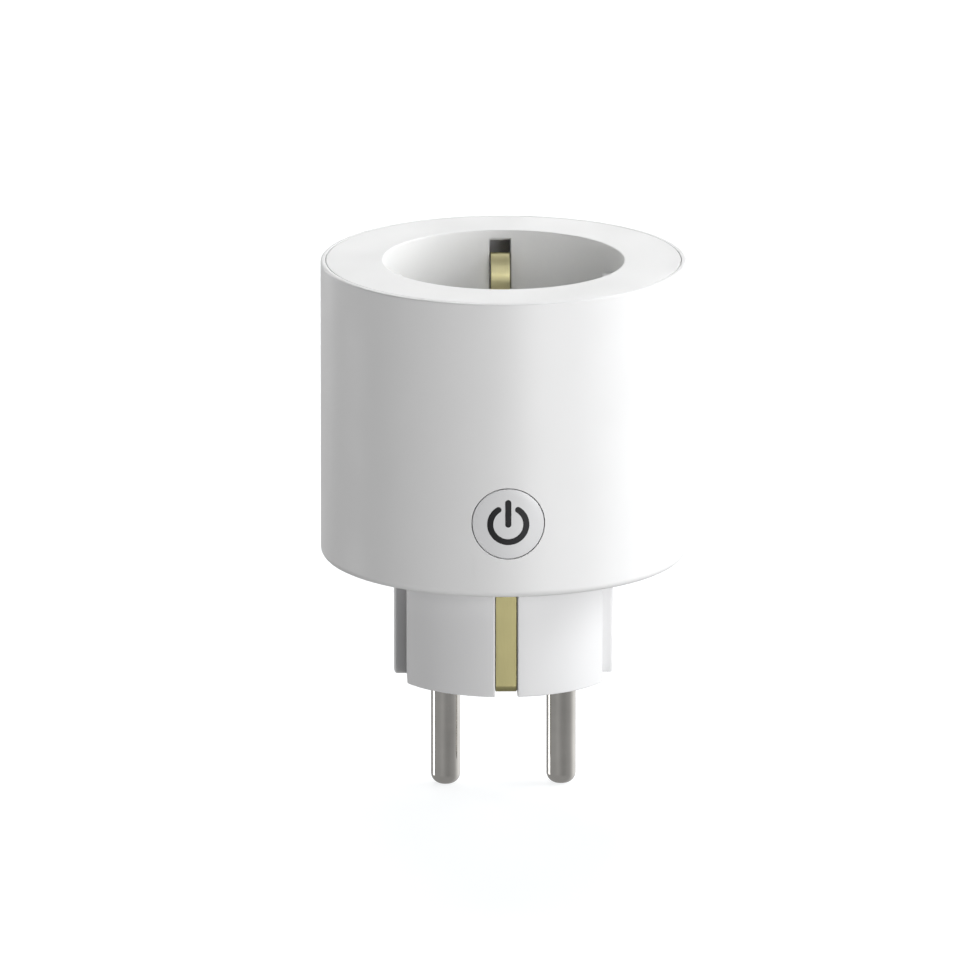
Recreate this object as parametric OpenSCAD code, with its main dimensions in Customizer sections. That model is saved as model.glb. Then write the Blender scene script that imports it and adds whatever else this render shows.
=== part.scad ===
// Round smart plug for a grounded wall socket, with a switched socket in its top.
// Z runs from the plug's pins up to the socket's mouth. The origin is the centre of the plug
// boss's end face, the pins stand in a row along X, and the button faces -Y. Millimetres.

/* [Housing] */
// Outside diameter of the round housing
housing_d = 60; // [58:0.5:72]
// Height of the housing above the plug boss
housing_h = 49.6; // [48:0.1:62]
// Thickness of the housing's side wall
wall = 2.2; // [1.8:0.1:2.7]
// Thickness of the housing's floor
floor_t = 2.5; // [2:0.1:3]
// Radius of the housing's lower edge
edge_r = 1.2; // [0.6:0.1:1.6]
// Thickness of the thin rim around the face plate
rim = 0.8; // [0.6:0.1:1.2]
// Radius of the rim's outer edge
rim_edge_r = 0.35; // [0.2:0.05:0.5]
// Groove between the rim and the face plate
groove = 0.2; // [0.1:0.05:0.4]
// Thickness of the plug base's flange inside the housing
flange_t = 2; // [1.5:0.1:2.5]

/* [Plug] */
// Diameter of the plug boss
boss_d = 37; // [36:0.5:40]
// Height of the plug boss
boss_h = 19.8; // [17:0.1:24]
// Depth of the two side flats below the boss's round
flat_depth = 2.5; // [1.5:0.1:3]
// Set-back of the guide ribs from the boss's round
rib_setback = 0.5; // [0.2:0.1:1]
// Width of a guide rib
rib_w = 5.4; // [4:0.1:6.5]
// Thickness of the boss's end wall
end_wall = 3; // [2.5:0.1:4]
// Diameter of a plug pin
pin_d = 4.8; // [4:0.1:5.8]
// Length of a plug pin below the boss
pin_len = 19.4; // [16:0.1:23]
// Rounding at a pin's tip
tip_r = 1.8; // [1:0.1:1.9]
// Distance between the two pins
pin_pitch = 19; // [18:0.1:20]

/* [Socket] */
// Diameter of the socket's recess
recess_d = 39.6; // [38:0.2:47.6]
// Depth of the socket's recess
recess_depth = 17.5; // [15:0.5:19]
// Thickness of the recess's wall
cup_wall = 1.8; // [1.5:0.1:2.2]
// Thickness of the recess's floor
cup_floor = 2.5; // [2:0.1:3]
// Thickness of the face plate
face_t = 2.4; // [2:0.1:3]
// Clearance between a plug pin and its hole in the socket
pin_clear = 0.3; // [0.2:0.05:0.5]
// Chamfer around a pin hole
lead_in = 0.6; // [0.3:0.1:1]
// Thickness of the safety shutter
shutter_t = 2.4; // [2:0.1:3]

/* [Earth] */
// Width of the earth slots in the boss
slot_w = 3.75; // [3.5:0.05:4.5]
// Width of an earth strap
strap_w = 3.45; // [3:0.05:3.5]
// Thickness of an earth strap
strap_t = 0.8; // [0.6:0.1:1]
// Set-back of the strap from the boss's round
strap_inset = 0.9; // [0.5:0.1:1.2]
// Width of the clip windows in the recess wall
window_w = 3.55; // [3.5:0.05:4.5]
// Depth of the window's upper edge below the face
window_drop = 1.4; // [1:0.1:2]
// Width of an earth clip
clip_w = 3.15; // [2.6:0.05:3.2]
// Thickness of an earth clip
clip_t = 0.6; // [0.4:0.1:0.8]
// How far a clip bulges into the recess
clip_bulge = 2.3; // [1.5:0.1:2.8]

/* [Button] */
// Diameter of the button's hole in the housing
button_d = 12; // [10:0.1:14.6]
// Gap around the button
button_gap = 0.2; // [0.1:0.05:0.35]
// Height of the button's centre above the housing's underside
button_rise = 12.6; // [11.5:0.1:16]
// Travel of the button
button_travel = 0.5; // [0.3:0.05:0.6]
// Outside diameter of the power symbol
symbol_d = 6.9; // [5:0.1:8]
// Line width of the power symbol
symbol_line = 1; // [0.7:0.05:1.3]
// Half of the angle left open at the symbol's top
symbol_open = 33; // [25:1:45]
// Drop of the symbol's ring below the button's centre
symbol_drop = 0.1; // [0:0.05:0.3]

/* [Electronics] */
// Thickness of the main board
board_t = 1.6; // [1.2:0.1:2]
// Space under the main board
board_gap = 2.5; // [2.2:0.1:3.5]
// Thickness of the upright control board
control_t = 1.2; // [1:0.1:1.6]
// Height of the upright control board
control_h = 17.4; // [16:0.1:18]
// Length of the relay
relay_l = 29; // [28:0.5:30]
// Width of the relay
relay_w = 12.7; // [12:0.1:13]
// Height of the relay
relay_h = 15.7; // [15.5:0.1:16]
// Diameter of the housing screws
screw_d = 2.6; // [2:0.1:3]

/* [Hidden] */
$fn = 96;

cut = 1;             // how far a cutting solid runs past a face
fit_gap = 0.1;       // gap between parts that nest or follow each other
air = 0.2;           // gap beside parts that slide

housing_r = housing_d / 2;
inner_r = housing_r - wall;
base_z = boss_h;
top_z = boss_h + housing_h;
face_z = top_z - face_t;
face_r = housing_r - rim - groove;
flange_z = base_z + floor_t;
flange_top = flange_z + flange_t;
flange_r = inner_r - 0.3;
board_z = flange_top + board_gap;
board_top = board_z + board_t;
board_r = inner_r - 1.8;

boss_r = boss_d / 2;
flat_x = boss_r - flat_depth;
pin_r = pin_d / 2;
pin_x = pin_pitch / 2;
pin_root_r = pin_r + 0.2;
pin_collar_r = pin_r + 1.3;
pin_collar_t = 1.6;
shank_r = 1.5;
shank_top = board_top + 1;

recess_r = recess_d / 2;
recess_z = top_z - recess_depth;
cup_z = recess_z - cup_floor;
hole_r = pin_r + pin_clear;
shutter_z = cup_z - air - shutter_t;
shutter_travel = 2 * pin_r + 1;
pad = 2 * hole_r + 1.2;
rail_t = 1.2;
spring_stop_y = pad / 2 + shutter_travel + 3.4;
spring_r = 1.1;
wire_r = 0.16;

carrier_z = board_top + 2;
carrier_top = shutter_z - 0.6;
pocket_z = carrier_z + 1;
pocket_x = pin_r + 2.2;
pocket_y = 3;
carrier_x = pin_x + pocket_x + 1.1;
carrier_y = pocket_y + 1.4;
contact_w = 5;
leaf_t = 0.6;
leaf_x = pin_r + 0.5;
tail_w = 2.4;
tail_x = pin_x + pocket_x - 0.6;

strap_y = boss_r - strap_inset - strap_t / 2;
clip_y = recess_r + 1.1;
clip_foot_z = cup_z + 0.6;
clip_apex_z = top_z - 7.3;
clip_top_z = top_z - 3.8;
clip_bend_z = clip_apex_z - 7;
strap_top_z = clip_foot_z - fit_gap;

post_r = 3;
post_at = inner_r - post_r - 0.2;
post_angles = [30, 150, 210, 330];
screw_r = screw_d / 2;
screw_head_r = screw_r + 1;
sink_depth = 1.2;
board_screw_x = board_r - 3.4;
board_screw_r = 1.1;

button_z = base_z + button_rise;
button_r = button_d / 2 - button_gap;
collar_r = button_d / 2 + 1;
collar_y = sqrt(inner_r * inner_r - collar_r * collar_r) - air;
collar_t = 0.8;
stem_back = collar_y - collar_t - 0.4;
plunger_tip = stem_back - fit_gap;
plunger_r = 1.7;
switch_front = plunger_tip - 1;
switch_size = 6;
switch_depth = 3.5;
control_front = switch_front - switch_depth;
control_back = control_front - control_t;
control_x = 13.4;
flange_front = collar_y - collar_t - button_travel - 0.3;
board_front = control_front + 1.6;
strap_rise_y = min(strap_y, control_back - 2.5);
inlay = 0.6;
symbol_r = symbol_d / 2 - symbol_line / 2;
symbol_bar_top = symbol_r + 1.2;
symbol_bar_low = 0.5;

relay_y = carrier_y + 0.8;
relay_mid = relay_y + relay_w / 2;
relay_skin = 0.8;
coil_x = 6.2;
coil_r = 4.4;
core_r = 2;
yoke_t = 1;
yoke_x = coil_x + coil_r + 2.1;
plate_y = 8;
contact_x = -9.2;
hinge_rise = relay_h - 2.35;

module at_posts() {
    for (a = post_angles) rotate(a) translate([post_at, 0, 0]) children();
}

module both_sides() {
    for (side = [-1, 1]) scale([side, 1, 1]) children();
}

// A drum on the Z axis with rounded lower and upper edges.
module drum(r, h, low_r, high_r) {
    rotate_extrude() {
        translate([0, low_r]) square([r, h - low_r - high_r]);
        square([r - low_r, low_r + cut]);
        translate([0, h - high_r - cut]) square([r - high_r, high_r + cut]);
        translate([r - low_r, low_r]) circle(low_r);
        translate([r - high_r, h - high_r]) circle(high_r);
    }
}

// A tube around the Z axis.
module tube(r, bore, h) {
    difference() {
        cylinder(r = r, h = h);
        translate([0, 0, -cut]) cylinder(r = bore, h = h + 2 * cut);
    }
}

// A block centred on X and Y that stands on z.
module block(x, y, h, z) {
    translate([-x / 2, -y / 2, z]) cube([x, y, h]);
}

// A rod that points to -Y, from depth y0 to the nearer depth y1.
module rod_to_front(r, y0, y1) {
    translate([0, -y0, button_z]) rotate([90, 0, 0]) cylinder(r = r, h = y1 - y0);
}

module housing_shell() {
    color("white") difference() {
        translate([0, 0, base_z]) drum(housing_r, housing_h, edge_r, rim_edge_r);
        translate([0, 0, flange_z]) cylinder(r = inner_r, h = housing_h);
        translate([0, 0, face_z]) cylinder(r = housing_r - rim, h = face_t + cut);
        translate([0, 0, base_z - cut]) cylinder(r = boss_r + fit_gap, h = floor_t + 2 * cut);
        rod_to_front(button_d / 2, inner_r - wall, housing_r + cut);
        at_posts() {
            translate([0, 0, base_z - cut]) cylinder(r = screw_r + air, h = floor_t + 2 * cut);
            translate([0, 0, base_z - cut]) cylinder(r = screw_head_r + air, h = sink_depth + cut);
        }
    }
}

module boss_outline() {
    intersection() {
        circle(boss_r);
        square([2 * flat_x, boss_d], center = true);
    }
    intersection() {
        circle(boss_r - rib_setback);
        square([boss_d, rib_w], center = true);
    }
}

module boss_cavity() {
    skin = 2;
    intersection() {
        circle(boss_r - skin);
        square([2 * (flat_x - skin), 2 * (strap_y - strap_t - skin)], center = true);
    }
}

module plug_base() {
    back_y = strap_y - strap_t / 2 - fit_gap;
    color("white") difference() {
        union() {
            linear_extrude(boss_h) boss_outline();
            translate([0, 0, base_z]) cylinder(r = boss_r, h = floor_t);
            intersection() {
                translate([0, 0, flange_z]) cylinder(r = flange_r, h = flange_t);
                translate([-housing_r, -flange_front, flange_z]) cube([housing_d, housing_d, flange_t]);
            }
            both_sides() translate([board_screw_x, 0, flange_top - cut])
                cylinder(r = 2.6, h = board_gap + cut);
        }
        translate([0, 0, end_wall]) linear_extrude(flange_top) boss_cavity();
        for (side = [-1, 1]) scale([1, side, 1]) {
            translate([-slot_w / 2, back_y, -cut]) cube([slot_w, housing_r, boss_h + cut]);
            translate([-slot_w / 2, back_y, base_z - cut])
                cube([slot_w, strap_t + 2 * fit_gap, floor_t + flange_t + 2 * cut]);
            translate([-slot_w / 2, back_y - 2.5, -cut]) cube([slot_w, 3, cut + 1.9]);
        }
        both_sides() {
            translate([pin_x, 0, -cut]) cylinder(r = pin_root_r, h = end_wall + 2 * cut);
            translate([board_screw_x, 0, flange_z + 0.5]) cylinder(r = board_screw_r, h = board_gap + flange_t);
        }
        at_posts() translate([0, 0, flange_z - cut]) cylinder(r = screw_r + air, h = flange_t + 2 * cut);
    }
}

// The lugs that key a plug's two flats, a pair on each side.
module guide_lugs() {
    lug_x = flat_x + 0.4;
    lug_y = rib_w / 2 + 0.4;
    lug_top = top_z - 4.5;
    intersection() {
        translate([0, 0, recess_z - cut]) cylinder(r = recess_r + cup_wall / 2, h = recess_depth);
        for (sx = [-1, 1], sy = [-1, 1]) scale([sx, sy, 1])
            translate([lug_x, lug_y, recess_z - cut])
                cube([recess_r, lug_y + 2.3, lug_top - recess_z + cut]);
    }
}

module shutter_guides() {
    rail_x = pin_x + pad / 2 + air;
    rail_h = shutter_t + air + 0.3;
    rail_back = spring_stop_y - pad / 2;
    both_sides() translate([rail_x, -pad / 2 - rail_t, cup_z - rail_h])
        cube([rail_t, rail_back + pad, rail_h + cut]);
    translate([-3, spring_stop_y, cup_z - rail_h]) cube([6, rail_t, rail_h + cut]);
    translate([-3, -pad / 2 - rail_t, cup_z - rail_h]) cube([6, rail_t, rail_h + cut]);
}

module socket_cup() {
    color("white") {
        difference() {
            union() {
                translate([0, 0, face_z]) cylinder(r = face_r, h = face_t);
                translate([0, 0, cup_z]) cylinder(r = recess_r + cup_wall, h = top_z - cup_z);
                at_posts() translate([0, 0, flange_top]) cylinder(r = post_r, h = face_z - flange_top + cut);
                shutter_guides();
            }
            translate([0, 0, recess_z]) cylinder(r = recess_r, h = recess_depth + cut);
            for (side = [-1, 1]) scale([1, side, 1]) {
                translate([-window_w / 2, recess_r - cut, recess_z])
                    cube([window_w, cup_wall + 2 * cut, recess_depth - window_drop]);
                translate([-window_w / 2, clip_y - clip_t / 2 - 0.4, cup_z - cut])
                    cube([window_w, cup_wall + cut, cup_floor + 2 * cut]);
            }
            both_sides() translate([pin_x, 0, cup_z - cut]) {
                cylinder(r = hole_r, h = cup_floor + 2 * cut);
                translate([0, 0, cut + cup_floor - lead_in])
                    cylinder(r1 = hole_r, r2 = hole_r + lead_in + cut, h = lead_in + cut);
            }
            at_posts() translate([0, 0, flange_top - cut]) cylinder(r = screw_r, h = 8 + cut);
        }
        guide_lugs();
    }
}

module contact_carrier() {
    color("whitesmoke") difference() {
        union() {
            block(2 * carrier_x, 2 * carrier_y, carrier_top - carrier_z, carrier_z);
            for (sx = [-1, 1], sy = [-1, 1])
                translate([sx * (carrier_x - 1), sy * (carrier_y - 1), 0])
                    block(2, 2, carrier_z - board_top, board_top);
        }
        both_sides() translate([pin_x, 0, 0]) {
            block(2 * pocket_x, 2 * pocket_y, carrier_top, pocket_z);
            translate([tail_x - pin_x, 0, 0]) block(leaf_t + 2 * air, tail_w + 2 * air, carrier_z, carrier_z - cut);
        }
        block(2 * (pin_x - pocket_x) - 2.4, 2 * pocket_y, carrier_top, pocket_z);
    }
}

module shutter() {
    low = 0.6;
    color("ivory") {
        both_sides() translate([pin_x - pad / 2, 0, shutter_z]) rotate([90, 0, 90])
            linear_extrude(pad) polygon([[-pad / 2, 0], [pad / 2, 0], [pad / 2, shutter_t],
                [pad / 2 - 1, shutter_t], [-pad / 2, low]]);
        block(2 * pin_x - pad, 2.8, shutter_t - 0.4, shutter_z);
        translate([0, 1.4, shutter_z + shutter_t / 2]) rotate([-90, 0, 0]) cylinder(r = 0.6, h = 1.6);
    }
}

// The return spring: a wire of six sides that follows a helix along Y.
module shutter_spring() {
    turns = 7;
    steps = 14;
    sides = 6;
    start = 1.4 + fit_gap + wire_r;
    length = spring_stop_y - fit_gap - wire_r - start;
    count = turns * steps;
    rings = [for (i = [0:count]) let (a = 360 * i / steps, radial = [cos(a), 0, sin(a)])
        for (k = [0:sides - 1]) let (b = 360 * k / sides)
            [0, start + length * i / count, 0] + (spring_r + wire_r * cos(b)) * radial
                + [0, wire_r * sin(b), 0]];
    walls = [for (i = [0:count - 1], k = [0:sides - 1]) let (n = (k + 1) % sides)
        [i * sides + k, i * sides + n, (i + 1) * sides + n, (i + 1) * sides + k]];
    ends = [[for (k = [sides - 1:-1:0]) k], [for (k = [0:sides - 1]) count * sides + k]];
    color("silver") translate([0, 0, shutter_z + shutter_t / 2])
        polyhedron(points = rings, faces = concat(walls, ends), convexity = 8);
}

module plug_pin(side) {
    color("gainsboro") translate([side * pin_x, 0, 0]) {
        translate([0, 0, -pin_len]) rotate_extrude() {
            translate([0, tip_r]) square([pin_r, pin_len - tip_r + fit_gap]);
            square([pin_r - tip_r, tip_r + cut]);
            intersection() {
                translate([pin_r - tip_r, tip_r]) circle(tip_r);
                square([pin_r, pin_len]);
            }
        }
        translate([0, 0, fit_gap]) cylinder(r = pin_root_r, h = end_wall - fit_gap);
        translate([0, 0, end_wall]) cylinder(r = pin_collar_r, h = pin_collar_t);
        translate([0, 0, end_wall]) cylinder(r = shank_r, h = shank_top - end_wall);
    }
}

module live_pin() {
    plug_pin(-1);
}

module neutral_pin() {
    plug_pin(1);
}

// A socket contact: two sprung leaves that grip a pin, on a base with a tail to the board.
module socket_contact() {
    grip = pin_r - 0.3;
    flare = pin_r + 0.9;
    base_t = 0.8;
    leaf_z = pocket_z + base_t;
    leaf_top = carrier_top - 0.8;
    pinch_z = leaf_top - 2.6;
    color("goldenrod") translate([pin_x, 0, 0]) {
        translate([-leaf_x - leaf_t, -contact_w / 2, pocket_z])
            cube([tail_x - pin_x + leaf_t / 2 + leaf_x + leaf_t, contact_w, base_t]);
        for (s = [-1, 1]) scale([s, 1, 1]) rotate([90, 0, 0])
            linear_extrude(contact_w, center = true)
                polygon([[leaf_x, leaf_z - base_t], [leaf_x, leaf_z], [grip, pinch_z], [flare, leaf_top],
                    [flare + leaf_t, leaf_top], [grip + leaf_t, pinch_z], [leaf_x + leaf_t, leaf_z],
                    [leaf_x + leaf_t, leaf_z - base_t]]);
        translate([tail_x - pin_x, 0, 0])
            block(leaf_t, tail_w, pocket_z - board_z + fit_gap + 1, board_z - 1);
    }
}

module live_contact() {
    mirror([1, 0, 0]) socket_contact();
}

module neutral_contact() {
    socket_contact();
}

// A flat strip that follows square corners in the YZ plane, of the strap's width.
module strip(route) {
    for (i = [0:len(route) - 2]) {
        low = [min(route[i][0], route[i + 1][0]), min(route[i][1], route[i + 1][1])];
        high = [max(route[i][0], route[i + 1][0]), max(route[i][1], route[i + 1][1])];
        translate([-strap_w / 2, low[0] - strap_t / 2, low[1] - strap_t / 2])
            cube([strap_w, high[0] - low[0] + strap_t, high[1] - low[1] + strap_t]);
    }
}

// An earth strap on +Y: its rounded foot turns in under the boss, and its top meets a clip.
module earth_strap(first_z, rise_y) {
    half = strap_t / 2;
    bend_r = 0.8;
    foot_z = 0.5 + half;
    second_z = cup_z - 1;
    bend_y = strap_y - bend_r;
    bend_z = foot_z + bend_r;
    color("khaki") {
        translate([-strap_w / 2, bend_y - 1.6, foot_z - half]) cube([strap_w, 1.6, strap_t]);
        translate([-strap_w / 2, bend_y, bend_z]) rotate([90, 0, 90]) rotate([0, 0, -90])
            linear_extrude(strap_w) intersection() {
                difference() {
                    circle(bend_r + half);
                    circle(bend_r - half);
                }
                square(bend_r + strap_t);
            }
        translate([-strap_w / 2, strap_y - half, bend_z]) cube([strap_w, strap_t, first_z - bend_z]);
        strip([[strap_y, first_z], [rise_y, first_z], [rise_y, second_z], [clip_y, second_z],
            [clip_y, strap_top_z - half]]);
    }
}

module earth_strap_front() {
    mirror([0, 1, 0]) earth_strap(flange_top + 1.4, strap_rise_y);
}

module earth_strap_back() {
    earth_strap(flange_top + 1.4, clip_y);
}

module earth_bridge() {
    color("khaki") block(strap_w + 1, 2 * strap_y - strap_t, strap_t, flange_top);
}

// A sprung earth clip on +Y: straight at its root, then a smooth bulge into the recess.
module earth_clip() {
    steps = 14;
    lip = 0.72;
    rise = [for (i = [0:steps]) let (t = i / steps)
        [clip_y - (clip_bulge + clip_y - recess_r) * (1 - cos(180 * t)) / 2,
            clip_bend_z + (clip_apex_z - clip_bend_z) * t]];
    fall = [for (i = [1:steps]) let (t = i / steps)
        [rise[steps][0] + lip * (clip_y - rise[steps][0]) * (1 - cos(180 * t * 0.72)) / 2,
            clip_apex_z + (clip_top_z - clip_apex_z) * t]];
    inner = concat([[clip_y, clip_foot_z]], rise, fall);
    outer = [for (i = [len(inner) - 1:-1:0]) inner[i] + [clip_t, 0]];
    color("darkkhaki") translate([-clip_w / 2, -clip_t / 2, 0]) rotate([90, 0, 90])
        linear_extrude(clip_w) polygon(concat(inner, outer));
}

module earth_clip_front() {
    mirror([0, 1, 0]) earth_clip();
}

module earth_clip_back() {
    earth_clip();
}

// Points of an arc, with its angles counted clockwise from straight up.
function arc(centre, r, from, to, steps) =
    [for (i = [0:steps]) let (a = from + (to - from) * i / steps) centre + r * [sin(a), cos(a)]];

// The power symbol in two dimensions, a broken ring with round ends and an upright bar.
module symbol_outline() {
    half = symbol_line / 2;
    open = symbol_open;
    ring_steps = 48;
    end_steps = 8;
    polygon(concat(
        arc([0, 0], symbol_r + half, open, 360 - open, ring_steps),
        arc(symbol_r * [-sin(open), cos(open)], half, 360 - open, 540 - open, end_steps),
        arc([0, 0], symbol_r - half, 360 - open, open, ring_steps),
        arc(symbol_r * [sin(open), cos(open)], half, open + 180, open + 360, end_steps)));
    polygon(concat(
        arc([0, symbol_bar_top - half], half, -90, 90, end_steps),
        arc([0, half - symbol_bar_low], half, 90, 270, end_steps)));
}

// The symbol's solid, from its flat floor in the cap out to the depth y.
module symbol_solid(y) {
    translate([0, inlay - housing_r, button_z - symbol_drop]) rotate([90, 0, 0]) linear_extrude(y) symbol_outline();
}

module button_cap() {
    color("gainsboro") {
        difference() {
            intersection() {
                rod_to_front(button_r, collar_y - collar_t, housing_r + cut);
                translate([0, 0, base_z]) cylinder(r = housing_r, h = housing_h);
            }
            symbol_solid(inlay + cut);
        }
        rod_to_front(collar_r, collar_y - collar_t, collar_y);
        rod_to_front(2.5, stem_back, collar_y);
    }
}

module power_symbol() {
    color("dimgray") intersection() {
        symbol_solid(inlay + cut);
        translate([0, 0, base_z]) cylinder(r = housing_r, h = housing_h, $fn = 720);
    }
}

module switch_plunger() {
    color("dimgray") rod_to_front(plunger_r, switch_front - 1.2, plunger_tip);
}

module tact_switch() {
    color("darkslategray") difference() {
        translate([-switch_size / 2, -switch_front, button_z - switch_size / 2])
            cube([switch_size, switch_depth, switch_size]);
        rod_to_front(plunger_r + fit_gap, switch_front - 2.2, switch_front + cut);
    }
}

module control_board() {
    color("seagreen") translate([-control_x, -control_front, board_top])
        cube([2 * control_x, control_t, control_h]);
}

module status_leds() {
    color("lemonchiffon") both_sides()
        translate([switch_size / 2 + 1, -control_front - 0.6, button_z - 0.8]) cube([0.8, 0.6, 1.6]);
}

module wifi_module() {
    color("navy") translate([-control_x + 0.4, -control_back, board_top + 1])
        cube([10.4, 0.8, 15.6]);
}

module wifi_shield() {
    color("silver") translate([-control_x + 0.9, -control_back + 0.8, board_top + 1.5])
        cube([9.4, 1.6, 10]);
}

header_xs = [for (i = [0:3]) 4.5 + 2.54 * i];
header_y = control_back - 1.25;

module header_strip() {
    color("dimgray") {
        translate([3.2, -control_back, board_top]) cube([10.2, 2.5, 2.5]);
        for (x = header_xs) translate([x, -header_y, board_z - 1]) cylinder(r = 0.4, h = board_t + 1.5, $fn = 24);
    }
}

module main_board() {
    color("seagreen") difference() {
        intersection() {
            translate([0, 0, board_z]) cylinder(r = board_r, h = board_t);
            translate([-housing_r, -board_front, board_z]) cube([housing_d, housing_d, board_t]);
        }
        at_posts() translate([0, 0, board_z - cut]) cylinder(r = post_r + 0.3, h = board_t + 2 * cut);
        translate([0, -strap_rise_y, 0]) block(strap_w + 0.6, strap_t + 0.6, board_t + 2 * cut, board_z - cut);
        translate([0, clip_y + housing_r / 2 - strap_t, 0])
            block(strap_w + 0.6, housing_r, board_t + 2 * cut, board_z - cut);
        both_sides() {
            translate([pin_x, 0, board_z - cut]) cylinder(r = shank_r + fit_gap, h = board_t + 2 * cut);
            translate([board_screw_x, 0, board_z - cut])
                cylinder(r = board_screw_r + fit_gap, h = board_t + 2 * cut);
            translate([tail_x, 0, 0])
                block(leaf_t + air, tail_w + air, board_t + 2 * cut, board_z - cut);
        }
        for (x = header_xs) translate([x, -header_y, board_z - cut])
            cylinder(r = 0.4 + fit_gap, h = board_t + 2 * cut, $fn = 24);
        for (x = relay_pin_xs) translate([x, relay_mid, 0])
            block(1 + air, 2 + air, board_t + 2 * cut, board_z - cut);
    }
}

// The relay stands on the main board behind the contact carrier.
module in_relay() {
    translate([0, relay_mid, board_top]) children();
}

relay_pin_xs = [contact_x - 2.8, 12];

module relay_case() {
    color("steelblue") in_relay() difference() {
        block(relay_l, relay_w, relay_h - 0.4, 0.4);
        block(relay_l - 2 * relay_skin, relay_w - 2 * relay_skin, relay_h - relay_skin, 0);
    }
}

module relay_base() {
    color("dimgray") in_relay() {
        block(relay_l - 2 * relay_skin - fit_gap, relay_w - 2 * relay_skin - fit_gap, 2, 0.3);
        for (x = relay_pin_xs) translate([x, 0, 0]) block(1, 2, board_t + 1.3, -board_t - 1);
    }
}

module relay_coil() {
    color("peru") in_relay() translate([coil_x, 0, 3.3]) difference() {
        union() {
            cylinder(r = coil_r, h = 8.2);
            cylinder(r = coil_r + 0.6, h = 0.8);
            translate([0, 0, 7.4]) cylinder(r = coil_r + 0.6, h = 0.8);
        }
        translate([0, 0, -cut]) cylinder(r = core_r, h = 9 + 2 * cut);
    }
}

module relay_yoke() {
    color("gray") in_relay() {
        translate([(yoke_x + 1) / 2, 0, 0]) block(yoke_x - 1, plate_y, yoke_t, 2.3);
        translate([yoke_x - yoke_t / 2, 0, 0]) block(yoke_t, plate_y, hinge_rise - 2.35, 2.3);
        translate([coil_x, 0, 2.3]) cylinder(r = core_r, h = hinge_rise - 3.1);
        translate([coil_x, 0, 11.6]) cylinder(r = core_r + 1.2, h = hinge_rise - 12.4);
    }
}

module relay_armature() {
    color("lightgray") in_relay()
        translate([(yoke_x + 0.9) / 2, 0, 0]) block(yoke_x - 0.3, plate_y, 0.8, hinge_rise + 0.05);
}

module relay_moving_contact() {
    color("orange") in_relay() {
        translate([(contact_x + 2.4) / 2 - 0.7, 0, 0]) block(2.4 - contact_x + 1.6, 4, 0.3, hinge_rise + 0.85);
        translate([contact_x, 0, hinge_rise - 0.45]) cylinder(r = 1.4, h = 1.3);
    }
}

module relay_fixed_contact() {
    top = hinge_rise - 1.35;
    color("orange") in_relay() {
        translate([contact_x - 2.8, 0, 0]) block(0.8, 4, top - 0.6 - 2.3, 2.3);
        translate([contact_x - 0.9, 0, 0]) block(4.6, 4, 0.8, top - 1.4);
        translate([contact_x, 0, top - 0.6]) cylinder(r = 1.4, h = 0.6);
    }
}

module electrolytic_capacitor() {
    color("midnightblue") translate([-7, -11.4, board_top]) {
        cylinder(r = 3.8, h = 0.6);
        translate([0, 0, 0.6]) cylinder(r = 4, h = 1);
        translate([0, 0, 1.6]) cylinder(r = 3.7, h = 0.4);
        translate([0, 0, 2]) cylinder(r = 4, h = 9.5);
    }
}

module film_capacitor() {
    color("gold") translate([9.5, -12, 0]) block(13, 5, 11, board_top);
}

module varistor() {
    color("royalblue") translate([carrier_x + 1.2, 0, board_top + 5]) rotate([0, 90, 0]) cylinder(r = 4, h = 3);
    color("silver") for (y = [-2.5, 2.5]) translate([carrier_x + 2.7, y, board_top]) cylinder(r = 0.3, h = 3, $fn = 24);
}

module fuse_resistor() {
    color("olivedrab") translate([-carrier_x - 2.6, -4.5, board_top + 2.2]) rotate([-90, 0, 0]) cylinder(r = 1.8, h = 9);
}

module power_inductor() {
    color("dimgray") translate([-15, -9.8, board_top]) {
        cylinder(r = 3.1, h = 1.2);
        translate([0, 0, 1.2]) cylinder(r = 2.3, h = 4.6);
        translate([0, 0, 5.8]) cylinder(r = 3.1, h = 1.2);
    }
}

module power_chip() {
    color("black") translate([-13, -14, 0]) {
        block(5, 4, 1.4, board_z - 1.5);
        for (x = [-1.9:1.27:1.91]) translate([x, 0, 0]) block(0.4, 6, 0.2, board_z - 0.2);
    }
}

module metering_shunt() {
    color("rosybrown") difference() {
        translate([pin_x - 2.4, -2, board_z - strap_t]) cube([tail_x - pin_x + 4.2, 4, strap_t]);
        translate([pin_x, 0, board_z - 2]) cylinder(r = shank_r, h = 3);
        translate([tail_x, 0, 0]) block(leaf_t, tail_w, 3, board_z - 2);
    }
}

module live_busbar() {
    color("goldenrod") difference() {
        union() {
            translate([-tail_x - 1.8, -2, board_z - strap_t]) cube([3.6, relay_mid + 4, strap_t]);
            translate([-tail_x - 1.8, relay_mid - 2, board_z - strap_t]) cube([5.2, 4, strap_t]);
        }
        translate([-tail_x, 0, 0]) block(leaf_t, tail_w, 3, board_z - 2);
        translate([relay_pin_xs[0], relay_mid, 0]) block(1, 2, 3, board_z - 2);
    }
}

module solder_joints() {
    color("silver") both_sides() translate([pin_x, 0, board_top]) difference() {
        cylinder(r1 = shank_r + 1.1, r2 = shank_r + 0.2, h = 0.8);
        translate([0, 0, -cut]) cylinder(r = shank_r, h = 3);
    }
}

// A screw on the Z axis whose head, with a cross recess, lies below z = 0 and whose shank rises.
module screw(head_r, head_t, shank, length) {
    difference() {
        translate([0, 0, -head_t]) cylinder(r = head_r, h = head_t);
        for (a = [0, 90]) rotate(a) block(2 * head_r - 1.6, 0.6, 0.7 + cut, -head_t - cut);
    }
    translate([0, 0, -0.1]) cylinder(r = shank, h = length + 0.1);
}

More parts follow.
